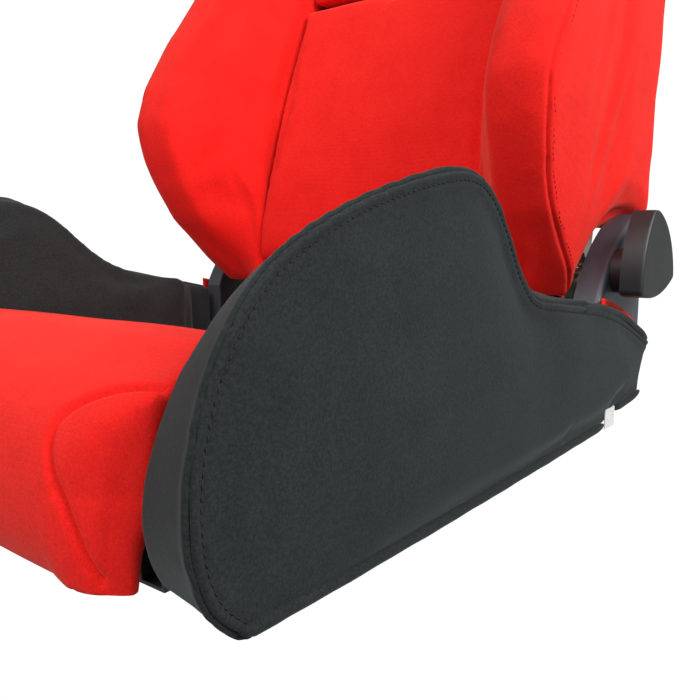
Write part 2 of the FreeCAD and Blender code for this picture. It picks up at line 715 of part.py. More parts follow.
def recliner_cover(name, side):
    """Moulded cover, open on its inside, on two posts that meet the bracket."""
    wide, wall, low = float(D.cover_out - D.cover_in), float(D.cover_wall), 44
    outer_x = float(D.cover_out)
    shell = cover_outline(0, 309, low).extrude(Vec(wide, 0, 0))
    rim = [e for e in shell.Edges if e.BoundBox.XMin > outer_x - 0.01 and e.BoundBox.ZMax > low + 5]
    shell = shell.makeFillet(5, rim)
    hollow = cover_outline(wall, 309 - wall, low - 5).extrude(Vec(wide - wall, 0, 0))
    posts = [rod_x(*polar(55, a), 5, D.bracket_x + D.bracket_t, outer_x - 1) for a in (213, 249)]
    shell = shell.cut(hollow).fuse(posts).removeSplitter()
    if side == LEFT:
        shell = shell.cut(rod_x(D.lever_y, D.lever_z, 6, outer_x - 10, outer_x + 2))
    keep_shape(f"recliner_cover_{name}", shell if side == LEFT else both_ways(shell)["right"])


HUB_R = 19.0


def lever_handle():
    """The paddle: a rounded triangle with a wide, short hub, on the cam shaft's outer end."""
    x_in, thick = float(D.lever_in), float(D.lever_out - D.lever_in)

    def at(y, z):
        return Vec(x_in, y, z)
    front = Part.Arc(at(206, 125), at(212, 166), at(231, 194)).toShape()
    top = Part.makeLine(at(231, 194), at(242, 194))
    rear = Part.Arc(at(242, 194), at(276, 172), at(291, 136)).toShape()
    foot = Part.Arc(at(291, 136), at(250, 122), at(206, 125)).toShape()
    paddle = Part.Face(Part.Wire([front, top, rear, foot])).extrude(Vec(thick, 0, 0))
    corners = [e for e in paddle.Edges if len(e.Vertexes) == 2
               and abs(e.Vertexes[0].X - e.Vertexes[1].X) > thick - 0.01]
    paddle = paddle.makeFillet(5, corners)
    outer = [e for e in paddle.Edges if min(v.X for v in e.Vertexes) > x_in + thick - 0.01]
    paddle = paddle.makeFillet(2.5, outer)
    hub = rod_x(D.lever_y, D.lever_z, HUB_R, float(D.cover_out) + 1, x_in + 1)
    paddle = paddle.fuse(hub).removeSplitter()
    socket = rod_x(D.lever_y, D.lever_z, D.shaft_r, float(D.cover_out), float(D.lever_out) - 8)
    keep_shape("recline_lever", paddle.cut(socket))


# ---------------------------------------------------------------- backrest frame
HOOP = [(183, 300, 172), (183, 327, 420), (183, 392, 600), (176, 402, 628), (126, 455, 742), (104, 478, 862)]
HOOP_BENDS = [170, 55, 55, 90, 40]


def hoop_line():
    """The hoop's centre line, from the left foot over the head to the right foot."""
    corners = [Vec(*p) for p in HOOP] + [Vec(-p[0], p[1], p[2]) for p in reversed(HOOP)]
    return rounded_path(corners, HOOP_BENDS + HOOP_BENDS[::-1])


def back_hoop():
    """One bent steel tube: up each side, in over the shoulders and round the head."""
    tube = swept_rod(hoop_line(), float(D.hoop_r)).cut(swept_rod(hoop_line(), float(D.hoop_r - D.hoop_wall)))
    for at in hoop_bolt_places():
        tube = tube.cut(rod_x(at[0], at[1], 4.2, -240, 240))
    keep_shape("back_hoop", tube)


def hoop_bolts():
    """Bolts through the swinging plates and the foot of the hoop."""
    bolts = []
    x_face = float(D.swing_x + D.swing_t)
    for at in hoop_bolt_places():
        shank = rod_x(at[0], at[1], 4, x_face - 32, x_face)
        head = rod_x(at[0], at[1], 7, x_face, x_face + 4.5)
        head = head.cut(rod_x(at[0], at[1], 3, x_face + 1.5, x_face + 6))
        thread = rod_x(at[0], at[1], 4, x_face - 34, x_face - 20)
        nut = rod_x(at[0], at[1], 6.5, x_face - 33, x_face - 27.2).cut(thread)
        bolts += [head.fuse(shank).removeSplitter(), nut]
    both = bolts + [b.mirror(Vec(0, 0, 0), Vec(1, 0, 0)) for b in bolts]
    keep_shape("hoop_bolts", Part.makeCompound(both))


def back_cross_tubes():
    """Tubes between the hoop's legs, coped onto them."""
    legs = swept_rod(hoop_line(), float(D.hoop_r))
    for label, y, z in (("back_lower_tube", 309, 238), ("back_upper_tube", 386, 583)):
        bar = rod_x(y, z, 8, -178, 178).cut(legs)
        bar = max(bar.Solids, key=lambda s: s.Volume)
        keep_shape(label, bar.cut(rod_x(y, z, 6.5, -160, 160)))


def back_springs():
    """Sinuous wires across the backrest, between the hoop's legs."""
    wires = []
    for y, z, lean in ((314, 292, 0.1), (321, 356, 0.12), (333, 436, 0.3), (356, 500, 0.36)):
        up = Vec(0, lean, 1).normalize()
        half = 171.5
        wires.append(swept_rod(zigzag(Vec(-half, y, z), Vec(half, y, z), up, 15, 7), float(D.spring_wire_r)))
    keep_shape("back_springs", Part.makeCompound(wires))


# ---------------------------------------------------------------- soft backrest
FRONT_LINE = [(191, 146), (194, 190), (206, 245), (223, 301), (241, 347), (258, 388), (279, 433),
              (304, 492), (327, 545), (350, 600), (372, 652), (392, 700), (404, 738)]


def front_y(z):
    """Y of the backrest's padded front, in the middle, at a height."""
    line = FRONT_LINE
    for (y0, z0), (y1, z1) in zip(line, line[1:]):
        if z <= z1:
            return y0 + (y1 - y0) * (z - z0) / (z1 - z0)
    return line[-1][0]


def strip(points, thick):
    """A side profile: the front curve, and the same curve set back by the thickness."""
    back = [(y + thick, z) for y, z in reversed(points)]
    return [points, [points[-1], back[0]], back, [back[-1], points[0]]]


def centre_pads():
    """Lower and upper middle pads, split at the cross seam, and the round pad below them."""
    half = float(D.centre_half)
    lower = [p for p in FRONT_LINE if p[1] < 430] + [(276, 428)]
    keep_shape("back_lower_pad", curve_face(strip(lower, 28), -half).extrude(Vec(2 * half, 0, 0)))
    upper = [(280.5, 436)] + [p for p in FRONT_LINE if p[1] > 440]
    pad = curve_face(strip(upper, 28), -half).extrude(Vec(2 * half, 0, 0))
    wide, tall = float(D.slot_w) + 19, float(D.slot_tall) + 19
    for side in SIDES.values():
        x, z = side * float(D.slot_x), float(D.slot_z)
        pad = pad.cut(block((x - wide / 2, 300, z - tall / 2), (x + wide / 2, 520, z + tall / 2)))
    keep_shape("back_upper_pad", pad)
    radius, reach = float(D.back_floor_r), 174
    drum = rod_x(D.pivot_y, D.pivot_z, radius, -reach, reach)
    core = rod_x(D.pivot_y, D.pivot_z, radius - 26, -reach - 1, reach + 1)
    corners = [(D.pivot_y, D.pivot_z), polar(150, 161), polar(160, 192), polar(150, 222)]
    window = prism(corners, 0, -reach, 2 * reach)
    roll = drum.cut(core).common(window)
    for side in SIDES.values():
        inner, outer = sorted((side * half, side * (reach + 1)))
        roll = roll.cut(block((inner, 100, WING[0][0] - 1.5), (outer, 300, 300)))
    keep_shape("back_roll_pad", roll)


# height, outer half-width, wing front Y, wing rear Y
WING = [(118, 219, 214, 326), (136, 224, 196, 326), (160, 227, 171, 327), (190, 231, 139, 327),
        (222, 234, 120, 328), (256, 239, 107, 329), (292, 243, 102, 331), (330, 246, 116, 333),
        (384, 246, 149, 338), (440, 242, 188, 352), (520, 236, 242, 386), (585, 240, 280, 418),
        (640, 244, 314, 444), (690, 226, 352, 472), (722, 190, 378, 486), (741, 158, 396, 494)]


FLARE_TOP, FLARE_RATE = 300.0, 0.09


def wing_section(height, half, front, rear):
    """A hook-shaped section: a thick padded front, and a wall back to the rear panel.

    Low down, the rear of the wall flares outwards over the recliner."""
    middle = front_y(height)
    x_in = float(D.centre_half) + 0.8
    inner, crown, shoulder = [x_in + f * (half - x_in) for f in (0.75, 0.46, 0.85)]
    deep = max(middle + 28, front + 14)
    flare = max(0.0, FLARE_RATE * (FLARE_TOP - height))
    points = [(x_in, middle), (crown, front + 4), (shoulder, front - 2), (half, front + 3),
              (half - 2 + flare, rear), (inner, rear + 12), (inner, deep), (x_in, deep)]
    return Part.makePolygon([Vec(x, y, height) for x, y in points + points[:1]])


def wings():
    loft = Part.makeLoft([wing_section(*row) for row in WING], True, True)
    swing = rod_x(D.pivot_y, D.pivot_z, D.swing_clear, 186, 260)
    round_cover = rod_x(D.pivot_y, D.pivot_z, D.cover_clear, D.cover_in - 2.5, 260)
    under = prism([(250, 100), (360, 100), (360, 166), (250, 166)], 0, 176, 90)
    behind = curve_face(strip([(y - 0.4, z) for y, z in REAR_LINE], 60), 130).extrude(Vec(150, 0, 0))
    wing = loft.cut(swing).cut(round_cover).cut(under).cut(behind)
    wing = max(wing.Solids, key=lambda solid: solid.Volume)
    for name, solid in both_ways(wing).items():
        keep_shape(f"back_wing_{name}", solid)


def head_pad():
    """The padded head: a rounded block that narrows to its top, moulded round the hoop."""
    sections = []
    for z, half, front, rear in ((742, 146, 404, 494), (800, 138, 403, 501), (850, 130, 412, 500),
                                 (886, 106, 430, 490)):
        sections.append(Part.makePolygon([Vec(x, y, z) for x, y in (
            (-half, front + 18), (-half + 26, front), (half - 26, front), (half, front + 18), (half, rear),
            (-half, rear), (-half, front + 18))]))
    pad = Part.makeLoft(sections, True, True)
    keep_shape("head_pad", pad.cut(swept_rod(hoop_line(), float(D.hoop_r) + 0.4)))


REAR_LINE = [(340, 196), (343, 320), (350, 388), (372, 452), (402, 520), (432, 585), (457, 640), (482, 690),
             (499, 740), (507, 800), (506, 850), (496, 886)]
REAR_HALF = [(196, 212), (256, 219), (316, 224), (384, 226), (452, 221), (520, 220), (585, 226), (640, 229),
             (690, 220), (722, 186), (741, 152), (800, 136), (850, 128), (886, 104)]


def rear_panel():
    """The closing panel, cut to the backrest's outline, with the two belt slots."""
    thick = 4
    sheet_solid = curve_face(strip(REAR_LINE, thick), -260).extrude(Vec(520, 0, 0))
    right_edge = [(x, z) for z, x in REAR_HALF]
    left_edge = [(-x, z) for x, z in reversed(right_edge)]
    shape = prism(right_edge + left_edge, 1, 300, 260)
    panel = sheet_solid.common(shape)
    wide, tall = float(D.slot_w) + 7, float(D.slot_tall) + 7
    for side in SIDES.values():
        x, z = side * float(D.slot_x), float(D.slot_z)
        panel = panel.cut(block((x - wide / 2, 440, z - tall / 2), (x + wide / 2, 540, z + tall / 2)))
    keep_shape("back_panel", panel)


def belt_guide(name, side):
    """A moulded duct with a lip at each end, through which a shoulder belt passes."""
    piece = Piece(f"belt_guide_{name}")
    x, z = side * D.slot_x, D.slot_z
    start, end = 394, 508.5

    def frame(margin, y_start, length):
        sketch = piece.sketch("XZ_Plane", Size(-y_start, str(-y_start)))
        w, t = D.slot_w / 2 + margin, D.slot_tall / 2 + margin
        rectangle(sketch, (x - w, z - t), (x + w, z + t))
        w, t = D.slot_w / 2, D.slot_tall / 2
        rectangle(sketch, (x - w, z - t), (x + w, z + t))
        piece.pad(sketch, Size(length, str(length)))
    frame(3, end - 2, end - start - 4)
    frame(9, start + 3, 5)
    frame(9, end, 3.5)


def build():
    for name, side in SIDES.items():
        base_rail(name, side)
    cross_tube("front_tube", D.front_tube_y, D.front_tube_z, D.front_tube_r)
    cross_tube("middle_tube", D.mid_tube_y, D.rear_tube_z, D.rear_tube_r)
    cross_tube("rear_tube", D.rear_tube_y, D.rear_tube_z, D.rear_tube_r)
    weld_nuts()
    seat_springs()
    spring_felt()
    cushion_solids()
    bolster_solids()
    side_panels()
    skirts_and_label()
    for name, side in SIDES.items():
        recliner_bracket(name, side)
        keeper_plate(name, side)
        back_plate(name, side)
        pawl(name, side)
        cam(name, side)
        linkage(name, side)
        recliner_cover(name, side)
        belt_guide(name, side)
    pivots()
    spiral_springs()
    cam_shafts()
    sync_rod()
    recliner_bolts()
    lever_handle()
    back_hoop()
    hoop_bolts()
    back_cross_tubes()
    back_springs()
    centre_pads()
    wings()
    head_pad()
    rear_panel()


def check_and_write():
    doc.recompute()
    failed = [o.Label for o in doc.Objects if {"Invalid", "Error"} & set(o.State)]
    for piece in kept:
        shape = piece.Shape
        if shape.isNull() or not shape.isValid() or not shape.Solids:
            failed.append(piece.Label)
    if failed:
        raise RuntimeError(f"these failed: {failed}")
    os.makedirs(OUT, exist_ok=True)
    for piece in kept:
        piece.Shape.exportStep(os.path.join(OUT, piece.Label + ".step"))
    print(len(kept), "nodes written")


build()
check_and_write()
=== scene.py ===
"""Visual model of the reclining sport seat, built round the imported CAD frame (metres, Z up)."""
import json
import math

import bmesh
import bpy
import numpy as np
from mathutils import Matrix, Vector, noise
from mathutils.bvhtree import BVHTree
from mathutils.kdtree import KDTree


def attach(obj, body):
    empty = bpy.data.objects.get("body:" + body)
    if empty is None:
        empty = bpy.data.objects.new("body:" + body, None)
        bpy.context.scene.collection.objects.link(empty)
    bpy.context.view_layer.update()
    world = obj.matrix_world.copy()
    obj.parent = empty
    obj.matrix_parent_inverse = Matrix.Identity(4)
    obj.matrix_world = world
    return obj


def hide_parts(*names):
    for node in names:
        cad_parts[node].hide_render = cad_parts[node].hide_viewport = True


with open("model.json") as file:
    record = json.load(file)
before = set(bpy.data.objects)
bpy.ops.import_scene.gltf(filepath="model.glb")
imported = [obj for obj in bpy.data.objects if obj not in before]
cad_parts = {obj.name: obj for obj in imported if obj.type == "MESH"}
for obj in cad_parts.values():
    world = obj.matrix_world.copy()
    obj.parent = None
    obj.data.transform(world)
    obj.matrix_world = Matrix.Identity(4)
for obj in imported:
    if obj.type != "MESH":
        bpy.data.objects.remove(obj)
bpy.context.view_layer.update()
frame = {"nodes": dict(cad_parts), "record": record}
NODES = frame["nodes"]
MM = 0.001


# ---------------------------------------------------------------- materials
def new_material(name):
    made = bpy.data.materials.new(name)
    made.use_nodes = True
    tree = made.node_tree
    return made, tree, tree.nodes["Principled BSDF"]


def node(tree, kind, **values):
    made = tree.nodes.new(kind)
    for key, value in values.items():
        if key in made.inputs:
            made.inputs[key].default_value = value
        else:
            setattr(made, key, value)
    return made


def noise_at(tree, coords, scale, detail=3.0, roughness=0.5):
    made = node(tree, "ShaderNodeTexNoise", Scale=scale, Detail=detail, Roughness=roughness)
    tree.links.new(coords, made.inputs["Vector"])
    return made.outputs["Fac"]


def ramp(tree, fac, stops):
    made = tree.nodes.new("ShaderNodeValToRGB")
    ring = made.color_ramp
    while len(ring.elements) < len(stops):
        ring.elements.new(0.5)
    for element, (at, colour) in zip(ring.elements, stops):
        element.position = at
        element.color = (*colour, 1.0)
    tree.links.new(fac, made.inputs["Fac"])
    return made.outputs["Color"]


def mix(tree, fac, a, b, mode="MIX"):
    made = node(tree, "ShaderNodeMix", data_type="RGBA", blend_type=mode)
    for socket, value in ((made.inputs[0], fac), (made.inputs[6], a), (made.inputs[7], b)):
        if isinstance(value, bpy.types.NodeSocket):
            tree.links.new(value, socket)
        else:
            socket.default_value = value if isinstance(value, float) else (*value, 1.0)
    return made.outputs[2]


def bump(tree, shader, height, strength, distance, after=None):
    made = node(tree, "ShaderNodeBump", Strength=strength, Distance=distance)
    tree.links.new(height, made.inputs["Height"])
    if after is not None:
        tree.links.new(after.outputs["Normal"], made.inputs["Normal"])
    tree.links.new(made.outputs["Normal"], shader.inputs["Normal"])
    return made


def fabric(name, base, deep, light, nap=0.35, grain=0.5, fleck=0.5, sheen=0.35, sheen_tint=(1.0, 1.0, 1.0)):
    """A brushed knit: stitch-sized cells, a soft nap in drifts, slight dark and light strokes, and painted
    shade along its seams.
    """
    made, tree, shader = new_material(name)
    coords = tree.nodes.new("ShaderNodeTexCoord").outputs["Object"]
    drift = noise_at(tree, coords, 28.0, 4.0, 0.6)
    strokes = noise_at(tree, coords, 420.0, 3.0, 0.6)
    fibre = noise_at(tree, coords, 1500.0, 2.0, 0.6)
    flecks = noise_at(tree, coords, 620.0, 2.0, 0.75)
    knit = node(tree, "ShaderNodeTexVoronoi", Scale=950.0, Randomness=0.55)
    tree.links.new(coords, knit.inputs["Vector"])
    tone = ramp(tree, drift, [(0.3, deep), (0.5, base), (0.72, light)])
    stroke_tone = ramp(tree, strokes, [(0.28, (0.74, 0.74, 0.74)), (0.6, (1.0, 1.0, 1.0))])
    grain_tone = ramp(tree, knit.outputs["Distance"], [(0.0, (1.0, 1.0, 1.0)), (0.75, (0.62, 0.62, 0.62))])
    colour = mix(tree, nap, base, tone)
    colour = mix(tree, nap, colour, stroke_tone, "MULTIPLY")
    colour = mix(tree, grain, colour, grain_tone, "MULTIPLY")
    fleck_tone = ramp(tree, flecks, [(0.36, (0.35, 0.35, 0.35)), (0.64, (1.0, 1.0, 1.0))])
    colour = mix(tree, fleck, colour, fleck_tone, "MULTIPLY")
    # painted shade: along the seams the colour is mixed towards a sixth of the base, for the shade in each
    # seam's groove
    painted_seam_shade = node(tree, "ShaderNodeAttribute", attribute_name="painted_seam_shade").outputs["Fac"]
    colour = mix(tree, painted_seam_shade, colour, tuple(c * 0.16 for c in base))
    tree.links.new(colour, shader.inputs["Base Color"])
    rough = ramp(tree, fibre, [(0.2, (0.78, 0.78, 0.78)), (0.8, (0.98, 0.98, 0.98))])
    tree.links.new(rough, shader.inputs["Roughness"])
    shader.inputs["Specular IOR Level"].default_value = 0.12
    shader.inputs["Sheen Weight"].default_value = sheen
    shader.inputs["Sheen Roughness"].default_value = 0.45
    shader.inputs["Sheen Tint"].default_value = (*sheen_tint, 1.0)
    first = bump(tree, shader, knit.outputs["Distance"], 0.35, 0.0004)
    second = bump(tree, shader, fibre, 0.25, 0.0003, first)
    bump(tree, shader, strokes, 0.12, 0.0012, second)
    return made


def plastic(name, colour, roughness, grain_scale, grain_depth, specular=0.5):
    """Moulded plastic with a fine spark-eroded grain and faint handling wear in its gloss."""
    made, tree, shader = new_material(name)
    coords = tree.nodes.new("ShaderNodeTexCoord").outputs["Object"]
    grain = noise_at(tree, coords, grain_scale, 2.0, 0.5)
    wear = noise_at(tree, coords, 35.0, 5.0, 0.65)
    dark = tuple(c * 0.82 for c in colour)
    tree.links.new(ramp(tree, wear, [(0.35, dark), (0.65, colour)]), shader.inputs["Base Color"])
    low, high = (roughness - 0.06,) * 3, (roughness + 0.08,) * 3
    tree.links.new(ramp(tree, wear, [(0.3, low), (0.7, high)]), shader.inputs["Roughness"])
    shader.inputs["Specular IOR Level"].default_value = specular
    bump(tree, shader, grain, 0.4, grain_depth)
    return made


def metal(name, colour, roughness, scale=220.0, metallic=1.0):
    """Plated or drawn steel: uneven plating, fine scratches and a slightly mixed gloss."""
    made, tree, shader = new_material(name)
    coords = tree.nodes.new("ShaderNodeTexCoord").outputs["Object"]
    cloud = noise_at(tree, coords, 60.0, 4.0, 0.6)
    fine = noise_at(tree, coords, scale * 6, 2.0, 0.5)
    dull = tuple(c * 0.7 for c in colour)
    tree.links.new(ramp(tree, cloud, [(0.3, dull), (0.7, colour)]), shader.inputs["Base Color"])
    low, high = (roughness - 0.08,) * 3, (roughness + 0.12,) * 3
    tree.links.new(ramp(tree, cloud, [(0.25, low), (0.8, high)]), shader.inputs["Roughness"])
    shader.inputs["Metallic"].default_value = metallic
    bump(tree, shader, fine, 0.2, 0.0002)
    return made


def felt(name, colour):
    """Pressed felt: loose fibre clumps in two greys."""
    made, tree, shader = new_material(name)
    coords = tree.nodes.new("ShaderNodeTexCoord").outputs["Object"]
    clumps = noise_at(tree, coords, 240.0, 6.0, 0.75)
    pale = tuple(min(1.0, c * 1.9) for c in colour)
    tree.links.new(ramp(tree, clumps, [(0.35, colour), (0.7, pale)]), shader.inputs["Base Color"])
    shader.inputs["Roughness"].default_value = 0.95
    bump(tree, shader, clumps, 0.8, 0.001)
    return made


RED = fabric("red_knit", (0.90, 0.016, 0.012), (0.76, 0.009, 0.007), (0.98, 0.024, 0.017),
             nap=0.4, grain=0.42, fleck=0.16, sheen=0.2, sheen_tint=(1.0, 0.4, 0.3))
CHARCOAL = fabric("charcoal_knit", (0.0235, 0.0275, 0.0275), (0.0185, 0.0220, 0.0220), (0.030, 0.035, 0.035),
                  nap=0.5, grain=0.5, fleck=0.62, sheen=0.10, sheen_tint=(0.8, 0.95, 0.95))
SLOT_LOOK = {
    "frame_steel": metal("black_powder_coat", (0.02, 0.02, 0.022), 0.42, metallic=0.0),
    "spring_steel": metal("drawn_wire", (0.36, 0.36, 0.37), 0.38),
    "zinc_steel": metal("zinc_plate", (0.62, 0.60, 0.50), 0.36),
    "bronze": metal("bronze", (0.66, 0.45, 0.22), 0.45),
    "felt": felt("grey_felt", (0.16, 0.16, 0.16)),
    "red_fabric": RED,
    "charcoal_fabric": CHARCOAL,
    "cover_plastic": plastic("cover_plastic", (0.052, 0.060, 0.072), 0.40, 2600.0, 0.00012),
    "lever_plastic": plastic("lever_plastic", (0.011, 0.012, 0.013), 0.46, 2200.0, 0.00015),
    "panel_plastic": plastic("panel_plastic", (0.028, 0.028, 0.030), 0.62, 900.0, 0.0004),
    "label": fabric("label_tape", (0.82, 0.82, 0.80), (0.7, 0.7, 0.69), (0.9, 0.9, 0.88), nap=0.2, grain=0.3),
}
THREAD_RED = plastic("red_thread", (0.42, 0.006, 0.006), 0.7, 4000.0, 0.0001, 0.3)
THREAD_BLACK = plastic("black_thread", (0.010, 0.011, 0.011), 0.65, 4000.0, 0.0001, 0.3)

SLOT_OF = {row["node"]: row["material_slot"] for row in frame["record"]["subparts"]}
for name, obj in NODES.items():
    look = SLOT_LOOK[SLOT_OF[name]]
    obj.data.materials.clear()
    obj.data.materials.append(look)


# ---------------------------------------------------------------- mesh tools
def link(obj):
    bpy.context.scene.collection.objects.link(obj)
    return obj


def coords_of(mesh):
    flat = np.empty(len(mesh.vertices) * 3, np.float64)
    mesh.vertices.foreach_get("co", flat)
    return flat.reshape(-1, 3)


def set_coords(mesh, coords):
    mesh.vertices.foreach_set("co", np.ascontiguousarray(coords, np.float64).ravel())
    mesh.update()


def normals_of(mesh):
    flat = np.empty(len(mesh.vertices) * 3, np.float64)
    mesh.vertex_normals.foreach_get("vector", flat)
    return flat.reshape(-1, 3)


def applied(obj):
    """Puts the result of the object's modifiers in place of its mesh."""
    graph = bpy.context.evaluated_depsgraph_get()
    mesh = bpy.data.meshes.new_from_object(obj.evaluated_get(graph))
    obj.modifiers.clear()
    old, obj.data = obj.data, mesh
    bpy.data.meshes.remove(old)
    return obj


def modify(obj, kind, **settings):
    made = obj.modifiers.new(kind.lower(), kind)
    for key, value in settings.items():
        setattr(made, key, value)
    return made


def soft_base(name, nodes, voxel, smooth=8, shrink=0.0):
    """One closed mesh round the named CAD solids, evenly divided and with its edges eased."""
    bm = bmesh.new()
    for source in nodes:
        bm.from_mesh(NODES[source].data)
    bmesh.ops.remove_doubles(bm, verts=bm.verts, dist=0.00001)
    mesh = bpy.data.meshes.new(name)
    bm.to_mesh(mesh)
    bm.free()
    obj = link(bpy.data.objects.new(name, mesh))
    modify(obj, "REMESH", mode="VOXEL", voxel_size=voxel)
    if smooth:
        modify(obj, "SMOOTH", factor=0.5, iterations=smooth)
    if shrink:
        modify(obj, "DISPLACE", strength=-shrink, mid_level=0.0)
    return applied(obj)


def dense(points, step=0.001):
    """Points about one step apart along a polyline."""
    made = [np.array(points[0], float)]
    for a, b in zip(points, points[1:]):
        a, b = np.array(a, float), np.array(b, float)
        count = max(1, int(np.linalg.norm(b - a) / step))
        made += [a + (b - a) * (i + 1) / count for i in range(count)]
    return np.array(made)


def smooth_line(points, step=0.004):
    """A centripetal curve through the points, as a list of points about one step apart."""
    p = [np.array(q, float) for q in points]
    p = [2 * p[0] - p[1]] + p + [2 * p[-1] - p[-2]]
    made = []
    for i in range(1, len(p) - 2):
        p0, p1, p2, p3 = p[i - 1:i + 3]
        count = max(2, int(np.linalg.norm(p2 - p1) / step))
        for k in range(count):
            t = k / count
            made.append(0.5 * (2 * p1 + (p2 - p0) * t + (2 * p0 - 5 * p1 + 4 * p2 - p3) * t * t
                               + (3 * p1 - p0 - 3 * p2 + p3) * t ** 3))
    made.append(p[-2])
    return made


def distance_to(lines, coords):
    """Each point's distance to the nearest of the lines."""
    points = np.concatenate([dense(line, 0.0015) for line in lines])
    tree = KDTree(len(points))
    for i, point in enumerate(points):
        tree.insert(point, i)
    tree.balance()
    return np.array([tree.find(c)[2] for c in coords])


def surface_tree(obj):
    bm = bmesh.new()
    bm.from_mesh(obj.data)
    tree = BVHTree.FromBMesh(bm)
    bm.free()
    return tree


def on_surface(obj, line, reach=0.05):
    """The line's points moved to the nearest place on the surface, with the surface normals."""
    tree = surface_tree(obj)
    placed = []
    for point in line:
        at, normal, _, _ = tree.find_nearest(Vector(point), reach)
        if at is not None:
            placed.append((np.array(at), np.array(normal)))
    return placed


def even_line(line, passes=3):
    """Irons small jumps out of a line that was snapped to a surface."""
    p = np.array(line)
    for _ in range(passes):
        p[1:-1] = (p[:-2] + 2 * p[1:-1] + p[2:]) / 4
    return [q for q in p]


MOST_INWARD = 0.0004


def inflate(obj, pressure, cap, seams=(), hold=0.004, frames=20, stiffness=12.0):
    """Blows a closed pad up as cloth, held along its seams, and keeps each point's move under the cap.

    Points hardly move inwards, so that the cover doesn't draw back from the hems and pads beside it.
    """
    before = coords_of(obj.data)
    cloth = modify(obj, "CLOTH").settings
    cloth.quality = 4
    cloth.mass = 0.2
    cloth.tension_stiffness = cloth.compression_stiffness = stiffness
    cloth.shear_stiffness = stiffness / 2
    cloth.bending_stiffness = 0.8
    cloth.use_pressure = True
    cloth.uniform_pressure_force = pressure
    cloth.effector_weights.gravity = 0.0
    if seams:
        near = distance_to(seams, before) < hold
        group = obj.vertex_groups.new(name="seam")
        group.add([int(i) for i in np.nonzero(near)[0]], 1.0, "REPLACE")
        cloth.vertex_group_mass = "seam"
    scene = bpy.context.scene
    for step in range(1, frames + 1):
        scene.frame_set(step)
    graph = bpy.context.evaluated_depsgraph_get()
    shaped = obj.evaluated_get(graph).to_mesh()
    after = coords_of(shaped)
    obj.modifiers.clear()
    move = after - before
    normals = normals_of(obj.data)
    outward = np.sum(move * normals, axis=1, keepdims=True)
    move += normals * np.maximum(0.0, -MOST_INWARD - outward)
    length = np.linalg.norm(move, axis=1, keepdims=True)
    factor = np.minimum(1.0, cap / np.maximum(length, 1e-9))
    set_coords(obj.data, before + move * factor)
    obj.vertex_groups.clear()
    scene.frame_set(1)
    return obj


def finer(obj, levels=1, smooth=0):
    modify(obj, "SUBSURF", levels=levels, render_levels=levels)
    if smooth:
        modify(obj, "SMOOTH", factor=0.5, iterations=smooth)
    return applied(obj)


def groove(obj, lines, depth, width):
    """Sinks a seam into the surface along each line."""
    coords = coords_of(obj.data)
    distance = distance_to(lines, coords)
    sink = depth * np.exp(-(distance / width) ** 2)
    set_coords(obj.data, coords - normals_of(obj.data) * sink[:, None])


def paint_seam_shade(obj, lines, width, strength=1.0):
    """Notes on each point how near a seam it is, for the fabric's colour to take painted shade there."""
    layer = obj.data.attributes.get("painted_seam_shade") or obj.data.attributes.new("painted_seam_shade", "FLOAT", "POINT")
    old = np.zeros(len(obj.data.vertices))
    layer.data.foreach_get("value", old)
    near = strength * np.exp(-(distance_to(lines, coords_of(obj.data)) / width) ** 2)
    layer.data.foreach_set("value", np.maximum(old, near))


def refine(obj, lines, reach):
    """Divides the faces near the lines once more, so that a seam's groove has faces to bend."""
    near = distance_to(lines, coords_of(obj.data)) < reach
    bm = bmesh.new()
    bm.from_mesh(obj.data)
    bm.verts.ensure_lookup_table()
    edges = [e for e in bm.edges if near[e.verts[0].index] and near[e.verts[1].index]]
    bmesh.ops.subdivide_edges(bm, edges=edges, cuts=1, use_grid_fill=True, smooth=0.0)
    bm.to_mesh(obj.data)
    bm.free()


def above_floor(obj, low=0.0015):
    """Keeps a soft piece off the plane that the seat stands on."""
    coords = coords_of(obj.data)
    coords[:, 2] = np.maximum(coords[:, 2], low)
    set_coords(obj.data, coords)


def drop_nose(obj, top=0.048, fall=0.016, behind=-0.185, fade=0.02, corner=0.130, forward=0.008):
    """Stretches the lower front of the cushion's cover down to the rails, and fills its front corners."""
    coords = coords_of(obj.data)
    share = np.clip((top - coords[:, 2]) / top, 0, 1) * np.clip((behind - coords[:, 1]) / fade, 0, 1)
    sideways = np.clip((np.abs(coords[:, 0]) - corner) / 0.05, 0, 1)
    coords[:, 2] -= fall * share * (0.4 + 0.6 * sideways)
    coords[:, 1] -= forward * sideways * np.sqrt(share)
    set_coords(obj.data, coords)


def sharpen(obj, line, reach=0.010):
    """Draws the surface near a seam out to the seam's own line, so that the edge there is crisp."""
    coords = coords_of(obj.data)
    points = dense(line, 0.0015)
    tree = KDTree(len(points))
    for i, point in enumerate(points):
        tree.insert(point, i)
    tree.balance()
    near = [tree.find(c) for c in coords]
    on_skin = surface_tree(obj)
    shift = np.array([points[i] - np.array(on_skin.find_nearest(Vector(points[i]))[0]) for _, i, _ in near])
    away = np.array([gap for _, _, gap in near])
    weight = np.clip(1.25 - away / reach, 0, 1)
    weight = weight * weight * (3 - 2 * weight)
    set_coords(obj.data, coords + shift * weight[:, None])


def wrinkle(obj, seed, size, depth):
    """A faint unevenness, as cloth over foam has."""
    coords = coords_of(obj.data)
    normals = normals_of(obj.data)
    offset = Vector((seed * 3.1, seed * 1.7, seed * 0.9))
    lift = np.array([noise.noise(Vector(c) / size + offset) for c in coords])
    set_coords(obj.data, coords + normals * (lift * depth)[:, None])


def smooth_shaded(obj):
    obj.data.polygons.foreach_set("use_smooth", [True] * len(obj.data.polygons))


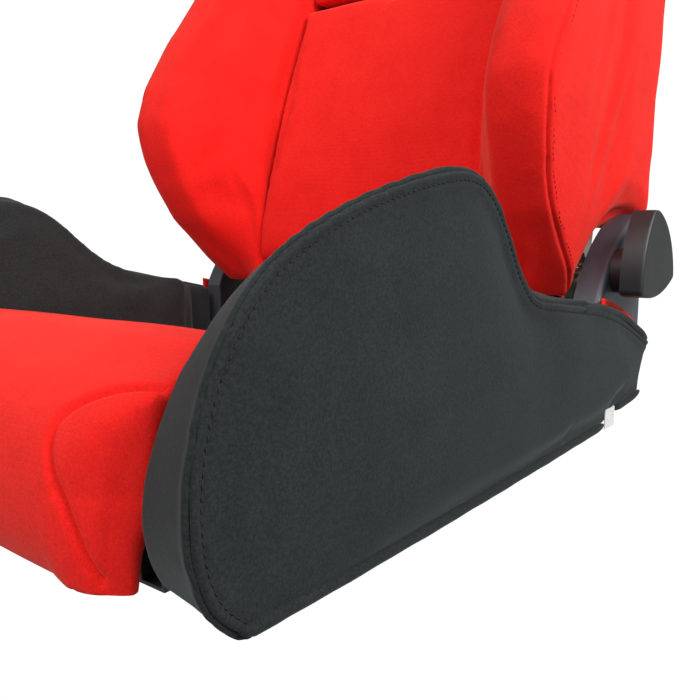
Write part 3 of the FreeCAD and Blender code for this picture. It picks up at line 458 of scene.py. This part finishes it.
def mirrored(obj, name):
    """The same piece on the other side of the seat."""
    bm = bmesh.new()
    bm.from_mesh(obj.data)
    for vert in bm.verts:
        vert.co.x = -vert.co.x
    bmesh.ops.reverse_faces(bm, faces=bm.faces)
    mesh = bpy.data.meshes.new(name)
    bm.to_mesh(mesh)
    bm.free()
    for look in obj.data.materials:
        mesh.materials.append(look)
    made = link(bpy.data.objects.new(name, mesh))
    smooth_shaded(made)
    return made


def stitches(name, obj, line, offset, look, pitch=0.0046, length=0.0031, radius=0.00042, lift=0.0001):
    """Short thread runs beside a seam line: offset is how far to the side, along surface x seam."""
    placed = on_surface(obj, dense(line, 0.0011))
    points = np.array(even_line([p for p, _ in placed], 6))
    tangents = np.gradient(points, axis=0)
    tree = surface_tree(obj)
    track, normals = [], []
    for point, tangent, (_, normal) in zip(points, tangents, placed):
        side = np.cross(normal, tangent)
        side /= max(np.linalg.norm(side), 1e-9)
        at, flat, _, _ = tree.find_nearest(Vector(point + side * offset), 0.03)
        if at is not None:
            track.append(np.array(at))
            normals.append(np.array(flat))
    track = np.array(even_line(track, 6))
    reach = np.concatenate([[0], np.cumsum(np.linalg.norm(np.diff(track, axis=0), axis=1))])
    bm = bmesh.new()
    start = pitch
    while start + length < reach[-1]:
        ends = [np.array([np.interp(at, reach, track[:, k]) for k in range(3)])
                for at in (start, start + length)]
        normal = normals[int(np.searchsorted(reach, start))]
        add_thread(bm, *ends, normal, radius, lift)
        start += pitch
    mesh = bpy.data.meshes.new(name)
    bm.to_mesh(mesh)
    bm.free()
    mesh.materials.append(look)
    made = link(bpy.data.objects.new(name, mesh))
    smooth_shaded(made)
    return made


# along a stitch: share of its length, width and height over the cloth in radii
THREAD_PROFILE = ((0.0, 0.35, -0.9), (0.2, 0.9, 0.35), (0.5, 1.0, 0.6), (0.8, 0.9, 0.35), (1.0, 0.35, -0.9))


def add_thread(bm, a, b, normal, radius, lift):
    """One stitch: a slightly arched, tapered thread from a to b."""
    along = b - a
    across = np.cross(normal, along)
    across /= max(np.linalg.norm(across), 1e-9)
    rings = []
    for t, wide, high in THREAD_PROFILE:
        centre = a + along * t + normal * (lift + high * radius)
        ring = []
        for k in range(6):
            turn = math.tau * k / 6
            at = centre + (across * math.cos(turn) + normal * math.sin(turn)) * radius * wide
            ring.append(bm.verts.new(at))
        rings.append(ring)
    for first, second in zip(rings, rings[1:]):
        for k in range(6):
            bm.faces.new((first[k], first[(k + 1) % 6], second[(k + 1) % 6], second[k]))
    bm.faces.new(rings[0][::-1])
    bm.faces.new(rings[-1])


def tube(name, line, radius, look, sides=10, swell=0.0):
    """A round cord along a line, with closed rounded ends; swell makes its radius a little uneven."""
    points = np.array(line)
    tangents = np.gradient(points, axis=0)
    bm = bmesh.new()
    rings = []
    up = Vector((1, 0, 0))
    for i, (point, tangent) in enumerate(zip(points, tangents)):
        t = Vector(tangent).normalized()
        side = t.cross(up).normalized()
        lift = side.cross(t).normalized()
        end = min(i, len(points) - 1 - i)
        scale = (0.45, 0.85, 1.0)[min(end, 2)] * (1 + swell * math.sin(i * 0.9) * math.sin(i * 0.37))
        ring = [bm.verts.new(Vector(point) + (side * math.cos(math.tau * k / sides)
                                              + lift * math.sin(math.tau * k / sides)) * radius * scale)
                for k in range(sides)]
        rings.append(ring)
    for first, second in zip(rings, rings[1:]):
        for k in range(sides):
            bm.faces.new((first[k], first[(k + 1) % sides], second[(k + 1) % sides], second[k]))
    bm.faces.new(rings[0][::-1])
    bm.faces.new(rings[-1])
    bmesh.ops.recalc_face_normals(bm, faces=bm.faces)
    mesh = bpy.data.meshes.new(name)
    bm.to_mesh(mesh)
    bm.free()
    mesh.materials.append(look)
    made = link(bpy.data.objects.new(name, mesh))
    smooth_shaded(made)
    return made


def dress(obj, look, body, slot, *nodes, fill=0.7):
    """Material, body and replaced CAD nodes of one padded piece; its record slot argument is not used."""
    obj.data.materials.clear()
    obj.data.materials.append(look)
    smooth_shaded(obj)
    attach(obj, body)
    if nodes:
        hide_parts(*nodes)
    return obj


def trim(obj, body):
    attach(obj, body)
    return obj


def both_sides(line):
    return {"left": line, "right": [(-p[0], p[1], p[2]) for p in line]}


def yz(x, rows):
    """Millimetre pairs (y, z) as points in metres in the plane at x."""
    return [(x * MM, y * MM, z * MM) for y, z in rows]


# ---------------------------------------------------------------- side bolsters of the base
OUTLINE = [(-222, 8), (-240, 26), (-249, 54), (-248, 86), (-236, 124), (-206, 161),
           (-156, 186), (-100, 202), (-49, 210), (-20, 204), (6, 184), (28, 154),
           (50, 134), (90, 127), (161, 118), (221, 104), (290, 79)]
STITCH_INSET = 6.5


def inset(rows, offset):
    """An outline of (y, z) rows moved to its right-hand side by the offset."""
    points = np.array([(p[1], p[2]) for p in smooth_line([(0, y, z) for y, z in rows], 3)])
    along = np.gradient(points, axis=0)
    along /= np.linalg.norm(along, axis=1, keepdims=True)
    moved = points + np.stack([along[:, 1], -along[:, 0]], 1) * offset
    keep = [moved[0]]
    for point, way in zip(moved[1:], along[1:]):
        if np.dot(point - keep[-1], way) > 1.0:
            keep.append(point)
    return keep


def cast_line(obj, rows, x):
    """Rows of (y, z) in millimetres, dropped inward along X onto the surface."""
    tree = surface_tree(obj)
    hits = [tree.ray_cast(Vector((x * MM, y * MM, z * MM)), Vector((-1, 0, 0)), 0.06)[0] for y, z in rows]
    return even_line([np.array(hit) for hit in hits if hit is not None], 4)


def make_bolsters():
    edge = smooth_line(yz(261.5, OUTLINE))
    left = soft_base("bolster_cover_left", ["side_bolster_left"], 0.005, smooth=6)
    inflate(left, 3.0, 0.006, [edge], hold=0.006)
    finer(left, 1)
    fold_panel(left)
    sharpen(left, edge, 0.013)
    wrinkle(left, 1, 0.09, 0.0012)
    modify(left, "SMOOTH", factor=0.5, iterations=3)
    applied(left)
    refine(left, [edge], 0.014)
    snapped = even_line([p for p, _ in on_surface(left, edge)], 4)
    groove(left, [snapped], 0.0030, 0.0019)
    # painted shade darkens the cloth's colour along the seam
    paint_seam_shade(left, [snapped], 0.0012, 0.85)
    track = cast_line(left, inset(OUTLINE, STITCH_INSET), 300)
    groove(left, [track], 0.0009, 0.0018)
    above_floor(left)
    right = mirrored(left, "bolster_cover_right")
    for (name, sign), obj in zip((("left", 1), ("right", -1)), (left, right)):
        dress(obj, CHARCOAL, "seat_base", "charcoal_fabric", f"side_bolster_{name}", fill=0.85)
        line = [p * np.array([sign, 1, 1]) for p in track]
        thread = stitches(f"bolster_stitch_{name}", obj, line, 0.0, THREAD_BLACK)
        trim(thread, "seat_base")


def fold_panel(obj):
    """The outer panel sinks in a soft fold behind the hump, and the rear deck flares out from it."""
    coords = coords_of(obj.data)
    outer = np.clip((coords[:, 0] - 0.245) / 0.012, 0, 1)
    y, z = coords[:, 1] / MM, coords[:, 2] / MM
    across = (y - 40) - (150 - z) * 0.35
    along = np.clip((z - 40) / 110, 0, 1)
    sink = 7 * MM * np.exp(-(across / 42) ** 2) * along
    coords[:, 0] -= sink * outer
    set_coords(obj.data, coords)


# ---------------------------------------------------------------- cushion and thigh pads
THIGH_SEAM = [(186, -199, 105), (165, -203, 103), (146, -212, 96), (132, -222, 87), (128, -227, 77),
              (134, -231, 66), (145, -234, 50), (155, -235, 33), (164, -231, 14), (168, -228, 8)]


def make_cushion():
    seam = smooth_line([(x * MM, y * MM, z * MM) for x, y, z in THIGH_SEAM])
    pad = soft_base("cushion_cover", ["seat_cushion", "thigh_pad_left", "thigh_pad_right"], 0.005, smooth=4)
    seams = [even_line([p for p, _ in on_surface(pad, s)], 3) for s in both_sides(seam).values()]
    inflate(pad, 3.0, 0.006, seams, hold=0.005)
    finer(pad, 1)
    wrinkle(pad, 5, 0.11, 0.0018)
    drop_nose(pad)
    seams = [even_line([p for p, _ in on_surface(pad, s)], 4) for s in seams]
    refine(pad, seams, 0.012)
    groove(pad, seams, 0.0050, 0.0028)
    # painted shade darkens the cloth's colour along the thigh seams
    paint_seam_shade(pad, seams, 0.0016, 0.8)
    above_floor(pad)
    thighs = split_thighs(pad, seams)
    dress(pad, RED, "seat_base", "red_fabric", "seat_cushion", fill=0.7)
    for name, obj in thighs.items():
        dress(obj, RED, "seat_base", "red_fabric", f"thigh_pad_{name}", fill=0.8)


def within(x, z, outline):
    """Whether a point lies inside a closed outline of (x, z) corners."""
    inside = False
    for (x0, z0), (x1, z1) in zip(outline, outline[1:] + outline[:1]):
        if (z0 > z) != (z1 > z) and x < x0 + (x1 - x0) * (z - z0) / (z1 - z0):
            inside = not inside
    return inside


def split_thighs(pad, seams):
    """Takes the part of the cushion inside each thigh seam off as a piece of its own."""
    made = {}
    for (name, sign), seam in zip((("left", 1), ("right", -1)), seams):
        edge = [(abs(p[0]), p[2]) for p in seam]
        edge = [(0.21, edge[0][1])] + edge + [(edge[-1][0], 0.0), (0.21, 0.0)]
        copy = link(bpy.data.objects.new(f"thigh_cover_{name}", pad.data.copy()))
        copy.data.name = copy.name
        for obj, keeps_inside in ((copy, True), (pad, False)):
            bm = bmesh.new()
            bm.from_mesh(obj.data)
            drop = []
            for face in bm.faces:
                c = face.calc_center_median()
                inside = c.y < -0.15 and within(c.x * sign, c.z, edge)
                if inside != keeps_inside:
                    drop.append(face)
            bmesh.ops.delete(bm, geom=drop, context="FACES")
            bm.to_mesh(obj.data)
            bm.free()
        made[name] = copy
    return made


# ---------------------------------------------------------------- backrest
WING_SEAM = [(219, 216, 122), (224, 198, 136), (227, 173, 160), (231, 141, 190), (234, 122, 222),
             (239, 109, 256), (243, 104, 292), (246, 118, 330), (246, 151, 384), (242, 190, 440),
             (236, 244, 520), (240, 282, 585), (244, 316, 640), (226, 354, 690), (190, 380, 722)]


def make_wings():
    seam = smooth_line([(x * MM, y * MM, z * MM) for x, y, z in WING_SEAM])
    left = soft_base("wing_cover_left", ["back_wing_left"], 0.005, smooth=14)
    seam = even_line([p for p, _ in on_surface(left, seam)], 3)
    inflate(left, 3.0, 0.007, [seam], hold=0.005)
    finer(left, 1)
    wrinkle(left, 9, 0.10, 0.0016)
    seam = even_line([p for p, _ in on_surface(left, seam)], 4)
    refine(left, [seam], 0.012)
    groove(left, [seam], 0.0032, 0.0019)
    # painted shade darkens the cloth's colour along the seam
    paint_seam_shade(left, [seam], 0.0014, 0.75)
    right = mirrored(left, "wing_cover_right")
    for name, obj in (("left", left), ("right", right)):
        dress(obj, RED, "backrest", "red_fabric", f"back_wing_{name}", fill=0.8)
        line = [p * np.array([1 if name == "left" else -1, 1, 1]) for p in seam]
        offset = -0.007 if name == "left" else 0.007
        trim(stitches(f"wing_stitch_{name}", obj, line, offset, THREAD_RED), "backrest")


# cover, the CAD node under it, and how far the cloth may move in metres
BACK_PADS = (("lower_back_cover", "back_lower_pad", 0.006), ("upper_back_cover", "back_upper_pad", 0.005),
             ("back_roll_cover", "back_roll_pad", 0.003), ("head_cover", "head_pad", 0.006))


def make_back_pads():
    for name, source, cap in BACK_PADS:
        pad = soft_base(name, [source], 0.005, smooth=4)
        inflate(pad, 3.0, cap)
        finer(pad, 1)
        wrinkle(pad, 13, 0.1, 0.0014)
        dress(pad, RED, "backrest", "red_fabric", source, fill=0.6)


# ---------------------------------------------------------------- hems and skirts
FOOT_HEM = [(-224, 13), (-205, 12), (-100, 13), (0, 15), (100, 17.5), (180, 20)]
TAIL_HEM = [(204, 29), (240, 31), (267, 34.5)]
DECK_HEM = [(128, 116), (146, 117.5), (161, 117.5), (190, 112.5), (221, 105), (255, 93), (288, 79.5)]
# part, (y, z) line in mm, x in mm, radius in metres
HEMS = (("foot", FOOT_HEM, 262.0, 0.0034), ("tail", TAIL_HEM, 262.0, 0.0030),
        ("deck", DECK_HEM, 259.5, 0.0036))


def make_hems():
    """Rolled edges of the bolster's cover: along its foot, its tail and its rear deck."""
    for part, points, x, radius in HEMS:
        for name, line in both_sides(smooth_line(yz(x, points), 0.006)).items():
            cord = tube(f"{part}_hem_{name}", line, radius, CHARCOAL, swell=0.05)
            trim(cord, "seat_base")


def make_skirts():
    """The red cloth that closes the base beside each recliner, stretched flat behind the bolster's end."""
    rear, front, low = 0.290, 0.202, 0.052
    steps_y, steps_z = 24, 20
    for name, side in (("left", 1), ("right", -1)):
        bm = bmesh.new()
        rows = []
        for i in range(steps_y + 1):
            y = front + (rear - front) * i / steps_y
            top = 0.1215 - 0.029 * i / steps_y + 0.004 * math.sin(math.pi * i / steps_y)
            heights = [low + (top - low) * k / steps_z for k in range(steps_z + 1)]
            ripple = [0.0006 * noise.noise(Vector((y * 40, z * 25, side))) for z in heights]
            rows.append([bm.verts.new((side * (0.2486 + r), y, z)) for z, r in zip(heights, ripple)])
        for first, second in zip(rows, rows[1:]):
            for k in range(steps_z):
                bm.faces.new((first[k], second[k], second[k + 1], first[k + 1]))
        bmesh.ops.recalc_face_normals(bm, faces=bm.faces)
        mesh = bpy.data.meshes.new(f"skirt_cover_{name}")
        bm.to_mesh(mesh)
        bm.free()
        mesh.materials.append(RED)
        skirt = link(bpy.data.objects.new(f"skirt_cover_{name}", mesh))
        modify(skirt, "SOLIDIFY", thickness=0.0012, offset=0.0)
        applied(skirt)
        smooth_shaded(skirt)
        trim(skirt, "seat_base")
        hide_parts(f"cushion_skirt_{name}")


# ---------------------------------------------------------------- white sweep, lights and camera
def make_stage():
    """A white sweep all round, seen by the camera alone, so that it neither lights nor mirrors."""
    bpy.ops.mesh.primitive_ico_sphere_add(subdivisions=3, radius=12, location=(0, 0, 0.4))
    sweep = bpy.context.object
    sweep.name = "white_sweep"
    made, _, shader = new_material("white_paper")
    shader.inputs["Base Color"].default_value = (0, 0, 0, 1)
    shader.inputs["Specular IOR Level"].default_value = 0.0
    shader.inputs["Emission Color"].default_value = (1, 1, 1, 1)
    shader.inputs["Emission Strength"].default_value = 1.05
    sweep.data.materials.append(made)
    sweep.visible_diffuse = False
    sweep.visible_glossy = False
    sweep.visible_shadow = False


def area_light(name, at, target, size, power, colour=(1, 1, 1)):
    lamp = bpy.data.lights.new(name, "AREA")
    lamp.shape = "RECTANGLE"
    lamp.size, lamp.size_y = size
    lamp.energy = power
    lamp.color = colour
    obj = link(bpy.data.objects.new(name, lamp))
    obj.location = at
    obj.rotation_euler = (Vector(target) - Vector(at)).to_track_quat("-Z", "Y").to_euler()


def make_lights():
    world = bpy.data.worlds.new("studio")
    bpy.context.scene.world = world
    world.use_nodes = True
    backdrop = world.node_tree.nodes["Background"]
    backdrop.inputs["Color"].default_value = (1, 1, 1, 1)
    backdrop.inputs["Strength"].default_value = 0.42
    area_light("key", (2.0, -0.15, 1.5), (0.05, 0.05, 0.20), (1.3, 1.3), 62)
    area_light("fill", (0.3, -1.7, 1.9), (0.0, 0.0, 0.2), (1.6, 1.2), 36)


def make_camera():
    """At the viewing angle: 38.3 degrees to the seat's left of its front, looking 8.5 degrees down."""
    turn, dip = 0.669, 0.149
    look = Vector((-math.sin(turn) * math.cos(dip), math.cos(turn) * math.cos(dip), -math.sin(dip)))
    lens = bpy.data.cameras.new("camera")
    lens.sensor_width = 36
    lens.lens = 39.28
    lens.clip_start = 0.01
    camera = link(bpy.data.objects.new("camera", lens))
    camera.location = (0.4773, -0.4247, 0.1732)
    camera.rotation_euler = look.to_track_quat("-Z", "Y").to_euler()
    bpy.context.scene.camera = camera
    bpy.context.scene.view_settings.view_transform = "Standard"


make_bolsters()
make_cushion()
make_wings()
make_back_pads()
make_hems()
make_skirts()
make_stage()
make_lights()
make_camera()
